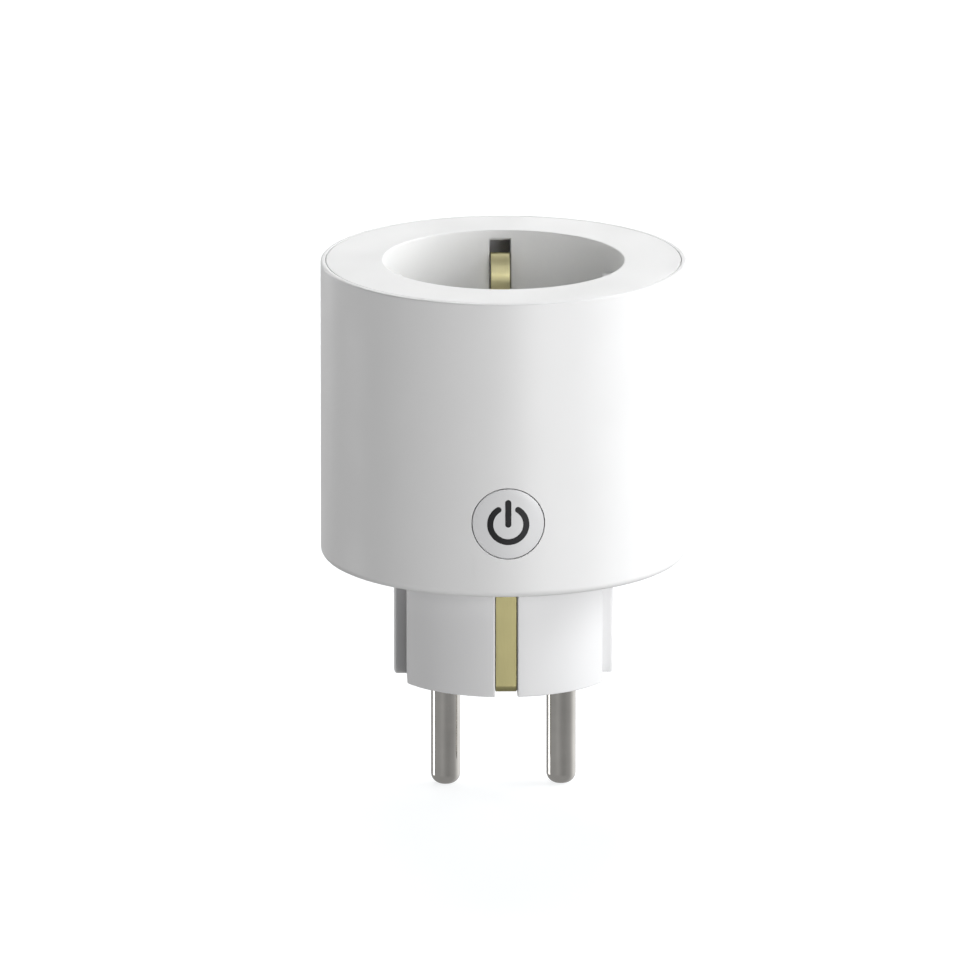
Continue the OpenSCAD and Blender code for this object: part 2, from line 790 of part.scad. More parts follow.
module board_screws() {
    color("silver") both_sides() translate([board_screw_x, 0, board_top]) mirror([0, 0, 1])
        screw(1.9, 1.2, board_screw_r, board_t + board_gap);
}

module housing_screws() {
    color("silver") at_posts() translate([0, 0, base_z + sink_depth])
        screw(screw_head_r, 1.1, screw_r, flange_top + 6 - base_z - sink_depth);
}

housing_shell();
plug_base();
socket_cup();
contact_carrier();
shutter();
shutter_spring();
live_pin();
neutral_pin();
live_contact();
neutral_contact();
earth_strap_front();
earth_strap_back();
earth_bridge();
earth_clip_front();
earth_clip_back();
button_cap();
power_symbol();
switch_plunger();
tact_switch();
control_board();
status_leds();
wifi_module();
wifi_shield();
header_strip();
main_board();
relay_case();
relay_base();
relay_coil();
relay_yoke();
relay_armature();
relay_moving_contact();
relay_fixed_contact();
electrolytic_capacitor();
film_capacitor();
varistor();
fuse_resistor();
power_inductor();
power_chip();
metering_shunt();
live_busbar();
solder_joints();
board_screws();
housing_screws();
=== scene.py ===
"""Looks of the round smart plug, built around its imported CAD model.

The outer mouldings, the button, its symbol and the pins are rebuilt here with their small fillets.
Every other part is the CAD solid itself, with softened edges and a material of its own.
Lengths in this script are in millimetres until they reach a mesh; MM turns them into metres.
"""
import math

import bmesh
import bpy
from mathutils import Matrix, Vector


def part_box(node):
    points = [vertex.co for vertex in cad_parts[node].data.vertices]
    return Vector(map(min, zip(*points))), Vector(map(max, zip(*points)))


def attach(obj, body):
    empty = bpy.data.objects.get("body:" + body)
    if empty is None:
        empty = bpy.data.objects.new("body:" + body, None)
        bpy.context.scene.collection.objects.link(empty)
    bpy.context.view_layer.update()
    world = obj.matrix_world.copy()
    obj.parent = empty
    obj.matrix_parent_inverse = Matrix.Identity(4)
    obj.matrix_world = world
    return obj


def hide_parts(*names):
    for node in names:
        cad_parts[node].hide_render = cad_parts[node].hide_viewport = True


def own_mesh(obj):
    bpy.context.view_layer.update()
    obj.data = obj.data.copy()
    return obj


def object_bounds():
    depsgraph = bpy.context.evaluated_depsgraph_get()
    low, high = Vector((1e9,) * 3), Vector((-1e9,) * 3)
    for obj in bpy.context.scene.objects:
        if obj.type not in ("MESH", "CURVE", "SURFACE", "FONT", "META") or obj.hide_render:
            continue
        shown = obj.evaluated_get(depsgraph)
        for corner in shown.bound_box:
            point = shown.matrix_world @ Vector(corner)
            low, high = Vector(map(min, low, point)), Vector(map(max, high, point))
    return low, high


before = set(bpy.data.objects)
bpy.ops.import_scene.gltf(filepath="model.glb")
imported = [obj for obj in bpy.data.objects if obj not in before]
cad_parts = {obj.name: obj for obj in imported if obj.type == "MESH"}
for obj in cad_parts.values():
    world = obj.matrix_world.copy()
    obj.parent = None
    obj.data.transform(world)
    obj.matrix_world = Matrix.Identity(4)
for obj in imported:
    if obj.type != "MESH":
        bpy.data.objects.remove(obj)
cad_low, cad_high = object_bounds()

MM = 0.001


def low(node):
    """The lowest corner of a CAD node's box, in millimetres."""
    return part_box(node)[0] / MM


def high(node):
    """The highest corner of a CAD node's box, in millimetres."""
    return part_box(node)[1] / MM


# ---- Sizes ----

HOUSING_R = high("housing_shell").x
UNDERSIDE = low("housing_shell").z
TOP = high("housing_shell").z
POST_FOOT = low("socket_cup").z
RIM = 0.8
RIM_R = HOUSING_R - RIM
FACE_R = RIM_R - 0.08
WALL = 2.2
INNER_R = HOUSING_R - WALL
FLOOR_T = 2.5
FACE_T = 2.4
LEDGE = TOP - FACE_T

RIB_R = 18.0
BOSS_R = 18.5
FLAT_X = 16.0
RIB_Y = 2.7
SLOT_X = 1.84
SLOT_Y = 16.7
NOTCH_Y = 14.2
NOTCH_Z = 1.9
END_WALL = 3.0

PIN_X = (low("neutral_pin").x + high("neutral_pin").x) / 2
PIN_TIP = low("neutral_pin").z
PIN_END = high("neutral_pin").z
PIN_R = 2.4

RECESS_R = 19.8
RECESS_FLOOR = TOP - 17.5
CUP_R = RECESS_R + 1.8
CUP_UNDER = RECESS_FLOOR - 2.5
HOLE_R = 2.7
WINDOW_X = 1.775
WINDOW_TOP = TOP - 1.4
LUG_TOP = TOP - 4.5

POST_R = 3.0
POST_AT = INNER_R - POST_R - 0.2
POST_ANGLES = (30, 150, 210, 330)
SCREW_R = 1.3

SPRING_R = 1.1

BUTTON_Z = (low("button_cap").z + high("button_cap").z) / 2
BUTTON_HOLE_R = 6.0
BUTTON_R = 5.86
BUTTON_BACK = -high("button_cap").y
SYMBOL_TOP = high("power_symbol").z
COLLAR_R = high("button_cap").x
COLLAR_FRONT = 26.7
COLLAR_BACK = 25.9
STEM_R = 2.5

LATHE_STEPS = 320


# ---- Mesh building ----

def arc(cx, cy, r, start, end, steps=6):
    """Points of an arc around (cx, cy), with its angles in degrees."""
    angles = [math.radians(start + (end - start) * i / steps) for i in range(steps + 1)]
    return [(cx + r * math.cos(a), cy + r * math.sin(a)) for a in angles]


def rounded(corners, steps=5):
    """A closed outline from (x, y, fillet radius) corners, with each fillet as an arc."""
    points = []
    for i, (x, y, r) in enumerate(corners):
        if r == 0:
            points.append((x, y))
            continue
        here = Vector((x, y))
        to_last = (Vector(corners[i - 1][:2]) - here).normalized()
        to_next = (Vector(corners[(i + 1) % len(corners)][:2]) - here).normalized()
        half = to_last.angle(to_next) / 2
        centre = here + (to_last + to_next).normalized() * (r / math.sin(half))
        start = here + to_last * (r / math.tan(half)) - centre
        turn = start.angle_signed(here + to_next * (r / math.tan(half)) - centre)
        for k in range(steps + 1):
            p = centre + Matrix.Rotation(-turn * k / steps, 2) @ start
            points.append((p.x, p.y))
    return points


def new_piece(name, bm):
    """Turns a bmesh in millimetres into an object in metres."""
    bmesh.ops.remove_doubles(bm, verts=bm.verts, dist=1e-5)
    bmesh.ops.recalc_face_normals(bm, faces=bm.faces)
    mesh = bpy.data.meshes.new(name)
    bm.transform(Matrix.Scale(MM, 4))
    bm.to_mesh(mesh)
    bm.free()
    piece = bpy.data.objects.new(name, mesh)
    bpy.context.scene.collection.objects.link(piece)
    return piece


def skin(bm, rings, closed):
    """Joins rings of vertices by quads; a ring of one vertex is a pole."""
    pairs = list(zip(rings, rings[1:] + rings[:1] if closed else rings[1:]))
    for a, b in pairs:
        if len(a) == 1 and len(b) == 1:
            continue
        for k in range(max(len(a), len(b))):
            corners = [a[k % len(a)], a[(k + 1) % len(a)], b[(k + 1) % len(b)], b[k % len(b)]]
            distinct = list(dict.fromkeys(corners))
            if len(distinct) > 2:
                bm.faces.new(distinct)


def lathe(name, outline, steps=LATHE_STEPS, place=Matrix.Identity(4)):
    """Turns a closed (r, z) outline about Z. Points on the axis become poles."""
    bm = bmesh.new()
    rings = []
    for r, z in outline:
        count = 1 if r < 1e-6 else steps
        turns = [2 * math.pi * k / count for k in range(count)]
        rings.append([bm.verts.new((r * math.cos(a), r * math.sin(a), z)) for a in turns])
    skin(bm, rings, closed=True)
    bm.transform(place)
    return new_piece(name, bm)


def prism(name, outline, z0, z1, place=Matrix.Identity(4)):
    """A plain prism over a closed outline."""
    bm = bmesh.new()
    rings = [[bm.verts.new((x, y, z)) for x, y in outline] for z in (z0, z1)]
    skin(bm, rings, closed=False)
    for ring in rings:
        bm.faces.new(ring)
    bm.transform(place)
    return new_piece(name, bm)


def bar(name, x, y, z):
    """A block between pairs of limits, for cutting and joining."""
    return prism(name, [(x[0], y[0]), (x[1], y[0]), (x[1], y[1]), (x[0], y[1])], z[0], z[1])


def rod(name, r, z0, z1, at=(0, 0), steps=64):
    """A round bar along Z, for cutting and joining."""
    return prism(name, arc(at[0], at[1], r, 0, 360 - 360 / steps, steps - 1), z0, z1)


def join(name, pieces):
    """Makes one object of several that don't touch each other."""
    bm = bmesh.new()
    for p in pieces:
        bm.from_mesh(p.data)
        bpy.data.objects.remove(p)
    mesh = bpy.data.meshes.new(name)
    bm.to_mesh(mesh)
    bm.free()
    whole = bpy.data.objects.new(name, mesh)
    bpy.context.scene.collection.objects.link(whole)
    return whole


def combine(piece, tools, operation):
    """Cuts the tools from the piece, or joins them to it."""
    tool = join("tool", tools)
    step = piece.modifiers.new("combine", "BOOLEAN")
    step.operation = operation
    step.solver = "EXACT"
    step.object = tool
    graph = bpy.context.evaluated_depsgraph_get()
    mesh = bpy.data.meshes.new_from_object(piece.evaluated_get(graph))
    piece.modifiers.clear()
    piece.data = mesh
    bpy.data.objects.remove(tool)


def round_edges(piece, width, wanted, segments=3):
    """Rounds the sharp edges whose middle, in millimetres, is wanted."""
    bm = bmesh.new()
    bm.from_mesh(piece.data)
    bmesh.ops.remove_doubles(bm, verts=bm.verts, dist=2e-8)
    sharp = math.radians(35)
    edges = []
    for edge in bm.edges:
        middle = (edge.verts[0].co + edge.verts[1].co) / 2 / MM
        if edge.is_manifold and edge.calc_face_angle(0) > sharp and wanted(middle):
            edges.append(edge)
    bmesh.ops.bevel(bm, geom=edges, offset=width * MM, segments=segments, profile=0.5, affect="EDGES")
    bmesh.ops.remove_doubles(bm, verts=bm.verts, dist=2e-7)
    bm.to_mesh(piece.data)
    bm.free()


def shade(piece, angle=35):
    """Smooth faces, with edges sharper than the angle kept sharp and flat faces kept flat."""
    piece.data.shade_smooth()
    piece.data.set_sharp_from_angle(angle=math.radians(angle))
    even = piece.modifiers.new("even_normals", "WEIGHTED_NORMAL")
    even.keep_sharp = True
    even.weight = 90


def place(piece, body, node, slot, material):
    """Rides a piece on its body in place of a CAD node."""
    piece.data.materials.clear()
    piece.data.materials.append(material)
    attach(piece, body)
    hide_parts(node)


# ---- Materials ----

class Shader:
    """A Principled material and the few node steps that the materials here share."""

    def __init__(self, name, color, roughness, metallic=0.0, specular=0.5):
        self.material = bpy.data.materials.new(name)
        self.material.use_nodes = True
        self.nodes = self.material.node_tree.nodes
        self.links = self.material.node_tree.links
        self.surface = self.nodes["Principled BSDF"]
        self.surface.inputs["Base Color"].default_value = (*color, 1)
        self.surface.inputs["Roughness"].default_value = roughness
        self.surface.inputs["Metallic"].default_value = metallic
        self.surface.inputs["Specular IOR Level"].default_value = specular
        self.coords = self.nodes.new("ShaderNodeTexCoord").outputs["Object"]

    def noise(self, size, detail=2.0, stretch=(1, 1, 1)):
        """Noise whose grains are about size millimetres, drawn out along the stretched axes."""
        grid = self.nodes.new("ShaderNodeMapping")
        grid.inputs["Scale"].default_value = [1 / (size * MM * s) for s in stretch]
        self.links.new(self.coords, grid.inputs["Vector"])
        noise = self.nodes.new("ShaderNodeTexNoise")
        noise.inputs["Scale"].default_value = 1
        noise.inputs["Detail"].default_value = detail
        self.links.new(grid.outputs["Vector"], noise.inputs["Vector"])
        return noise.outputs["Fac"]

    def spread(self, value, low_end, high_end):
        """Maps a noise value onto a range."""
        span = self.nodes.new("ShaderNodeMapRange")
        span.inputs["From Min"].default_value = 0.3
        span.inputs["From Max"].default_value = 0.7
        span.inputs["To Min"].default_value = low_end
        span.inputs["To Max"].default_value = high_end
        self.links.new(value, span.inputs["Value"])
        return span.outputs["Result"]

    def vary_roughness(self, value, low_end, high_end):
        """Varies the roughness between two values by a noise value."""
        self.links.new(self.spread(value, low_end, high_end), self.surface.inputs["Roughness"])

    def vary_color(self, value, dark, light):
        """Blends two colours by a noise value."""
        mix = self.nodes.new("ShaderNodeMix")
        mix.data_type = "RGBA"
        mix.inputs[6].default_value = (*dark, 1)
        mix.inputs[7].default_value = (*light, 1)
        self.links.new(self.spread(value, 0, 1), mix.inputs[0])
        self.links.new(mix.outputs[2], self.surface.inputs["Base Color"])

    def bump(self, value, depth):
        """Adds relief of about depth millimetres."""
        bump = self.nodes.new("ShaderNodeBump")
        bump.inputs["Strength"].default_value = 1
        bump.inputs["Distance"].default_value = depth * MM
        self.links.new(value, bump.inputs["Height"])
        self.links.new(bump.outputs["Normal"], self.surface.inputs["Normal"])


def moulded_plastic(name, color, roughness, grain=0.35, relief=0.004, tint=0.012, specular=0.5):
    """Satin moulded plastic: a fine spark-eroded grain, with slow changes in gloss and tone."""
    shader = Shader(name, color, roughness, specular=specular)
    fine = shader.noise(grain, detail=3)
    slow = shader.noise(9)
    shader.vary_roughness(slow, roughness - 0.05, roughness + 0.05)
    shader.vary_color(slow, [c * (1 - tint) for c in color], color)
    shader.bump(fine, relief)
    return shader.material


def drawn_metal(name, color, roughness, stretch, grain=0.25, relief=0.002, tint=0.1):
    """Metal with faint marks drawn out along one axis and slow changes in tone."""
    shader = Shader(name, color, roughness, metallic=1.0)
    marks = shader.noise(grain, detail=4, stretch=stretch)
    slow = shader.noise(4)
    shader.vary_roughness(marks, roughness * 0.8, roughness * 1.25)
    shader.vary_color(slow, [c * (1 - tint) for c in color], color)
    shader.bump(marks, relief)
    return shader.material


def circuit_board(name, mask, trace):
    """Solder mask over copper, with the traces as a slightly lighter raised pattern."""
    shader = Shader(name, mask, 0.35)
    tracks = shader.noise(2.5, detail=0, stretch=(1, 6, 1))
    edge = shader.nodes.new("ShaderNodeMath")
    edge.operation = "GREATER_THAN"
    edge.inputs[1].default_value = 0.55
    shader.links.new(tracks, edge.inputs[0])
    shader.vary_color(edge.outputs[0], mask, trace)
    shader.bump(edge.outputs[0], 0.03)
    return shader.material


HOUSING = moulded_plastic("housing_white", (0.80, 0.80, 0.80), 0.42)
FACE = moulded_plastic("face_white", (0.83, 0.83, 0.825), 0.40)
PLUG = moulded_plastic("plug_white", (0.74, 0.74, 0.745), 0.45)
BUTTON = moulded_plastic("button_white", (0.725, 0.727, 0.735), 0.34, grain=0.25, relief=0.002)
SYMBOL = moulded_plastic("symbol_dark", (0.011, 0.011, 0.013), 0.5, grain=0.2, relief=0.002,
    tint=0.2, specular=0.28)
NICKEL = drawn_metal("nickel", (0.72, 0.70, 0.665), 0.07, stretch=(1, 1, 14), relief=0.0006)
# Painted shade: the straps' brass is the clip's brass at about half the brightness, darkened for the
# shade of the boss's slot under the housing.
STRAP_BRASS_PAINTED_SHADE = drawn_metal("strap_brass_painted_shade", (0.445, 0.405, 0.205), 0.42, stretch=(1, 1, 12), tint=0.04)
CLIP_BRASS = drawn_metal("clip_brass", (0.93, 0.86, 0.50), 0.36, stretch=(1, 1, 12))
CONTACT = drawn_metal("contact_brass", (0.80, 0.60, 0.28), 0.3, stretch=(1, 1, 8))
STEEL = drawn_metal("zinc_steel", (0.62, 0.62, 0.61), 0.3, stretch=(1, 1, 1))
SOLDER = drawn_metal("solder", (0.70, 0.70, 0.69), 0.22, stretch=(1, 1, 1), grain=0.6)
COPPER = drawn_metal("enamelled_copper", (0.72, 0.30, 0.14), 0.28, stretch=(1, 1, 0.2), grain=0.8,
    relief=0.05)
CARRIER = moulded_plastic("carrier_ivory", (0.74, 0.72, 0.66), 0.5)
BLACK = moulded_plastic("black_moulding", (0.02, 0.02, 0.02), 0.45)
BLUE = moulded_plastic("relay_blue", (0.05, 0.16, 0.38), 0.4)
SLEEVE = moulded_plastic("capacitor_sleeve", (0.03, 0.04, 0.12), 0.25)
FILM = moulded_plastic("film_box", (0.70, 0.48, 0.06), 0.3)
EPOXY = moulded_plastic("varistor_epoxy", (0.04, 0.12, 0.42), 0.25, grain=1.2, relief=0.03)
COATING = moulded_plastic("resistor_coating", (0.16, 0.28, 0.11), 0.5)
FERRITE = moulded_plastic("ferrite", (0.05, 0.05, 0.055), 0.6, grain=0.5, relief=0.01)
RESIN = moulded_plastic("led_resin", (0.85, 0.80, 0.55), 0.2)
BOARD = circuit_board("board_green", (0.02, 0.16, 0.06), (0.05, 0.26, 0.10))
MODULE = circuit_board("module_blue", (0.02, 0.05, 0.18), (0.05, 0.10, 0.26))


# ---- The housing ----

def post_at(angle):
    """Where the screw post at an angle stands, seen from above."""
    return (POST_AT * math.cos(math.radians(angle)), POST_AT * math.sin(math.radians(angle)))


def sunk_screw_holes():
    """Cutters for the four screws under the housing's floor."""
    head_r = SCREW_R + 1.2
    head_t = 1.2
    neck_r = SCREW_R + 0.2
    end = FLOOR_T + 1
    outline = [(0, -1), (head_r, -1), (head_r, head_t), (neck_r, head_t), (neck_r, end), (0, end)]
    return [lathe("hole", outline, 48, Matrix.Translation((*post_at(a), UNDERSIDE)))
        for a in POST_ANGLES]


def toward_front():
    """Turns Z to -Y and lifts to the button's height."""
    return Matrix.Translation((0, 0, BUTTON_Z)) @ Matrix.Rotation(math.pi / 2, 4, "X")


def make_housing():
    """The round outer cup, with its rounded edges, the button's hole and the screw holes."""
    outline = rounded([
        (BOSS_R + 0.1, UNDERSIDE, 0.15), (HOUSING_R, UNDERSIDE, 1.2), (HOUSING_R, TOP, 0.35),
        (RIM_R, TOP, 0.12), (RIM_R, LEDGE, 0), (INNER_R, LEDGE, 0),
        (INNER_R, UNDERSIDE + FLOOR_T, 0.5), (BOSS_R + 0.1, UNDERSIDE + FLOOR_T, 0)])
    piece = lathe("housing", outline)
    circle = arc(0, 0, BUTTON_HOLE_R, 0, 360 - 360 / 128, 127)
    hole = prism("hole", circle, INNER_R - 2, HOUSING_R + 2, toward_front())
    combine(piece, [hole] + sunk_screw_holes(), "DIFFERENCE")

    def at_button(p):
        return abs(math.hypot(p.x, p.z - BUTTON_Z) - BUTTON_HOLE_R) < 0.05 and p.y < -(INNER_R + 1)

    def at_screws(p):
        from_axis = p.xy.length
        return abs(p.z - UNDERSIDE) < 0.01 and abs(from_axis - POST_AT) < 3 and from_axis > BOSS_R + 1

    round_edges(piece, 0.06, at_button)
    round_edges(piece, 0.15, at_screws)
    shade(piece)
    place(piece, "root", "housing_shell", "housing_plastic", HOUSING)


# ---- The face plate and the recess ----

def make_socket():
    """The face plate and the recess in one moulding, with its lugs, posts, windows and pin holes."""
    outline = rounded([
        (0, RECESS_FLOOR, 0), (RECESS_R, RECESS_FLOOR, 0.4), (RECESS_R, TOP, 0.22), (FACE_R, TOP, 0.14),
        (FACE_R, LEDGE, 0), (CUP_R, LEDGE, 0), (CUP_R, CUP_UNDER, 0), (0, CUP_UNDER, 0)])
    piece = lathe("socket", outline)
    lugs = []
    for sx in (-1, 1):
        for sy in (-1, 1):
            x = sorted((sx * (FLAT_X + 0.4), sx * (RECESS_R + 0.9)))
            y = sorted((sy * (RIB_Y + 0.4), sy * 8.5))
            lugs.append(bar("lug", x, y, (RECESS_FLOOR - 1, LUG_TOP)))
    posts = []
    for a in POST_ANGLES:
        posts.append(rod("post", POST_R, POST_FOOT, LEDGE + 0.5, post_at(a)))
    combine(piece, lugs + posts, "UNION")
    tools = []
    for side in (-1, 1):
        y = sorted((side * (RECESS_R - 0.6), side * (CUP_R + 1)))
        tools.append(bar("window", (-WINDOW_X, WINDOW_X), y, (CUP_UNDER - 1, WINDOW_TOP)))
        chamfer = [(0, -1), (HOLE_R, -1), (HOLE_R, 1.9), (HOLE_R + 0.6, 2.5), (HOLE_R + 0.6, 3.5),
            (0, 3.5)]
        tools.append(lathe("pin_hole", chamfer, 64, Matrix.Translation((side * PIN_X, 0, CUP_UNDER))))
    combine(piece, tools, "DIFFERENCE")

    def at_windows(p):
        in_wall = RECESS_R - 0.8 < abs(p.y) < RECESS_R + 0.1
        return abs(p.x) < WINDOW_X + 0.05 and in_wall and p.z > RECESS_FLOOR + 1

    def at_lugs(p):
        return p.xy.length < RECESS_R - 0.1 and abs(p.x) > FLAT_X and p.z > RECESS_FLOOR + 0.1

    round_edges(piece, 0.1, at_windows)
    round_edges(piece, 0.3, at_lugs)
    shade(piece)
    place(piece, "root", "socket_cup", "face_plastic", FACE)


# ---- The plug boss ----

def boss_quarter():
    """The boss's outline for x and y above 0: rib, flat, round and earth slot, with small fillets."""
    corner = 0.35
    rib_x = math.sqrt((RIB_R - corner) ** 2 - (RIB_Y - corner) ** 2)
    rib_a = math.degrees(math.atan2(RIB_Y - corner, rib_x))
    flat_y = math.sqrt((BOSS_R - corner) ** 2 - (FLAT_X - corner) ** 2)
    flat_a = math.degrees(math.atan2(flat_y, FLAT_X - corner))
    lip = 0.25
    slot_y = math.sqrt((BOSS_R - lip) ** 2 - (SLOT_X + lip) ** 2)
    slot_a = math.degrees(math.atan2(slot_y, SLOT_X + lip))
    root = 0.3
    return (arc(0, 0, RIB_R, 0, rib_a, 6)
        + arc(rib_x, RIB_Y - corner, corner, rib_a, 90)
        + arc(FLAT_X + root, RIB_Y + root, root, 270, 180)
        + arc(FLAT_X - corner, flat_y, corner, 0, flat_a)
        + arc(0, 0, BOSS_R, flat_a, slot_a, 48)
        + arc(SLOT_X + lip, slot_y, lip, slot_a, 180)
        + [(SLOT_X, SLOT_Y)])


def boss_outline():
    """All four quarters, in one closed loop without repeated points."""
    quarter = boss_quarter()
    upper = quarter + [(-x, y) for x, y in reversed(quarter)]
    loop = []
    for p in upper + [(-x, -y) for x, y in upper]:
        if not loop or (Vector(p) - Vector(loop[-1])).length > 1e-4:
            loop.append(p)
    if (Vector(loop[0]) - Vector(loop[-1])).length < 1e-4:
        loop.pop()
    return loop


def shrink(loop, by):
    """Moves a closed outline inward by a small distance."""
    moved = []
    for i, p in enumerate(loop):
        last = (Vector(p) - Vector(loop[i - 1])).normalized()
        after = (Vector(loop[(i + 1) % len(loop)]) - Vector(p)).normalized()
        sides = [Vector((-d.y, d.x)) for d in (last, after)]
        middle = (sides[0] + sides[1]).normalized()
        q = Vector(p) + middle * (by / max(middle.dot(sides[0]), 0.5))
        moved.append((q.x, q.y))
    return moved


def deepen(loop):
    """Two outlines with the same number of points: one carries the slots' backs in to the strap's
    foot, and the other has each back corner twice instead."""
    def is_back(p):
        return abs(p[0]) < SLOT_X + 0.01 and abs(abs(p[1]) - SLOT_Y) < 0.01
    foot, plain = [], []
    for i, p in enumerate(loop):
        foot.append(p)
        plain.append(p)
        if is_back(p):
            inner = (p[0], math.copysign(NOTCH_Y, p[1]))
            foot.insert(len(foot) - 1 if is_back(loop[i - 1]) else len(foot), inner)
            plain.append(p)
    return foot, plain


def make_plug():
    """The boss as stacked outlines, from its rounded end up to the flange."""
    edge = 0.2
    foot, loop = deepen(boss_outline())
    flange_top = UNDERSIDE + FLOOR_T + 2
    bm = bmesh.new()
    rings = []
    for k in range(5):
        a = math.radians(90 * k / 4)
        z = edge * (1 - math.cos(a))
        rings.append([bm.verts.new((x, y, z)) for x, y in shrink(foot, edge * (1 - math.sin(a)))])
    notch = [bm.verts.new((x, y, NOTCH_Z)) for x, y in foot]
    upper = {p: bm.verts.new((*p, flange_top)) for p in loop}
    rings += [notch, [notch[foot.index(p)] for p in loop], [upper[p] for p in loop]]
    skin(bm, rings, closed=False)
    bm.faces.new(rings[0])
    bm.faces.new(list(upper.values()))
    piece = new_piece("plug", bm)
    flange = [(SLOT_Y + 1.2, flange_top - 2), (INNER_R - 0.3, flange_top - 2),
        (INNER_R - 0.3, flange_top), (SLOT_Y + 1.2, flange_top)]
    combine(piece, [lathe("flange", flange, 128)], "UNION")
    share_x, share_y = 0.75, 0.77
    cavity = [(x * share_x, y * share_y) for x, y in arc(0, 0, BOSS_R, 0, 354, 59)]
    tools = [prism("cavity", cavity, END_WALL, flange_top + 1)]
    for side in (-1, 1):
        tools.append(rod("pin_hole", PIN_R + 0.2, -1, END_WALL + 1, (side * PIN_X, 0)))
    combine(piece, tools, "DIFFERENCE")
    shade(piece)
    place(piece, "root", "plug_base", "plug_plastic", PLUG)


# ---- The pins ----

def make_pin(name, side):
    """A turned pin with a rounded tip, a collar inside the boss and a thinner tail."""
    tip_r = 1.8
    collar_r = PIN_R + 1.3
    collar_end = END_WALL + 1.6
    tail_r = 1.5
    outline = ([(0, PIN_TIP), (PIN_R - tip_r, PIN_TIP)]
        + arc(PIN_R - tip_r, PIN_TIP + tip_r, tip_r, -90, 0, 12)
        + [(PIN_R, 0.1), (PIN_R + 0.2, 0.1), (PIN_R + 0.2, END_WALL), (collar_r, END_WALL),
            (collar_r, collar_end), (tail_r, collar_end), (tail_r, PIN_END), (0, PIN_END)])
    piece = lathe(name + "_turned", outline, 128, Matrix.Translation((side * PIN_X, 0, 0)))
    shade(piece)
    place(piece, "root", name, "pin_nickel", NICKEL)


# ---- The shutter's spring ----

def make_spring():
    """A round wire coiled along Y, closed at both ends, at the length of its CAD part; the real spring
    shortens as the shutter slides.
    """
    near, far = low("shutter_spring"), high("shutter_spring")
    wire_r = far.x - SPRING_R
    centre_z = (near.z + far.z) / 2
    start, length = near.y + wire_r, far.y - near.y - 2 * wire_r
    turns, steps, sides = 9, 24, 10
    closed_pitch = 2.1 * wire_r
    pitch = (length - 2 * closed_pitch) / (turns - 2)
    bm = bmesh.new()
    rings = []
    for i in range(turns * steps + 1):
        turn = i / steps
        open_turns = min(max(turn - 1, 0), turns - 2)
        y = start + open_turns * pitch + (turn - open_turns) * closed_pitch
        a = 2 * math.pi * turn
        ring = []
        for k in range(sides):
            b = 2 * math.pi * k / sides
            r = SPRING_R + wire_r * math.cos(b)
            x, z = r * math.cos(a), centre_z + r * math.sin(a)
            ring.append(bm.verts.new((x, y + wire_r * math.sin(b), z)))
        rings.append(ring)
    skin(bm, rings, closed=False)
    bm.faces.new(rings[0])
    bm.faces.new(rings[-1])
    piece = new_piece("spring", bm)
    shade(piece)
    place(piece, "root", "shutter_spring", "spring_steel", STEEL)
    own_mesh(piece)


# ---- The button ----

def on_housing(x, lift=0.0):
    """The y of a point on the housing's front, raised by lift."""
    return -math.sqrt((HOUSING_R + lift) ** 2 - x * x)


def make_button():
    """A round cap whose face follows the housing, with a rolled edge, a collar and a stem."""
    edge = 0.1
    steps = 128
    radii = [0.0, 0.8, 1.6, 2.4, 3.2, 4.0, 4.8, BUTTON_R - edge]
    face = [(r, 0.0) for r in radii]
    face += [(BUTTON_R - edge + edge * math.sin(a), edge * (1 - math.cos(a)))
        for a in (math.radians(90 * k / 5) for k in range(1, 6))]
    back = [(BUTTON_R, COLLAR_FRONT), (COLLAR_R, COLLAR_FRONT), (COLLAR_R, COLLAR_BACK),
        (STEM_R, COLLAR_BACK), (STEM_R, BUTTON_BACK), (0.0, BUTTON_BACK)]
    bm = bmesh.new()
    rings = []
    for r, sunk in face:
        turns = [2 * math.pi * k / steps for k in range(steps if r else 1)]
        rings.append([bm.verts.new((r * math.cos(a), on_housing(r * math.cos(a)) + sunk,
            BUTTON_Z + r * math.sin(a))) for a in turns])
    for r, depth in back:
        turns = [2 * math.pi * k / steps for k in range(steps if r else 1)]
        rings.append([bm.verts.new((r * math.cos(a), -depth, BUTTON_Z + r * math.sin(a))) for a in turns])
    skin(bm, rings, closed=False)
    piece = new_piece("button", bm)
    shade(piece)
    place(piece, "button", "button_cap", "button_plastic", BUTTON)


def stroke(path, half):
    """Cross-sections of a line with round ends: (left point, right point) pairs along a path."""
    sections = []
    for i, point in enumerate(path):
        way = (path[min(i + 1, len(path) - 1)] - path[max(i - 1, 0)]).normalized()
        sections.append((point, way, half))
    ends = []
    for point, way in ((path[0], path[0] - path[1]), (path[-1], path[-1] - path[-2])):
        way = way.normalized()
        turns = [math.radians(90 * k / 8) for k in range(1, 8)] + [math.radians(89)]
        ends.append([(point + way * half * math.sin(t), way, half * math.cos(t)) for t in turns])
    first = [(p, -way, width) for p, way, width in reversed(ends[0])]
    return [(p + Vector((-way.y, way.x)) * width, p - Vector((-way.y, way.x)) * width)
        for p, way, width in first + sections + ends[1]]


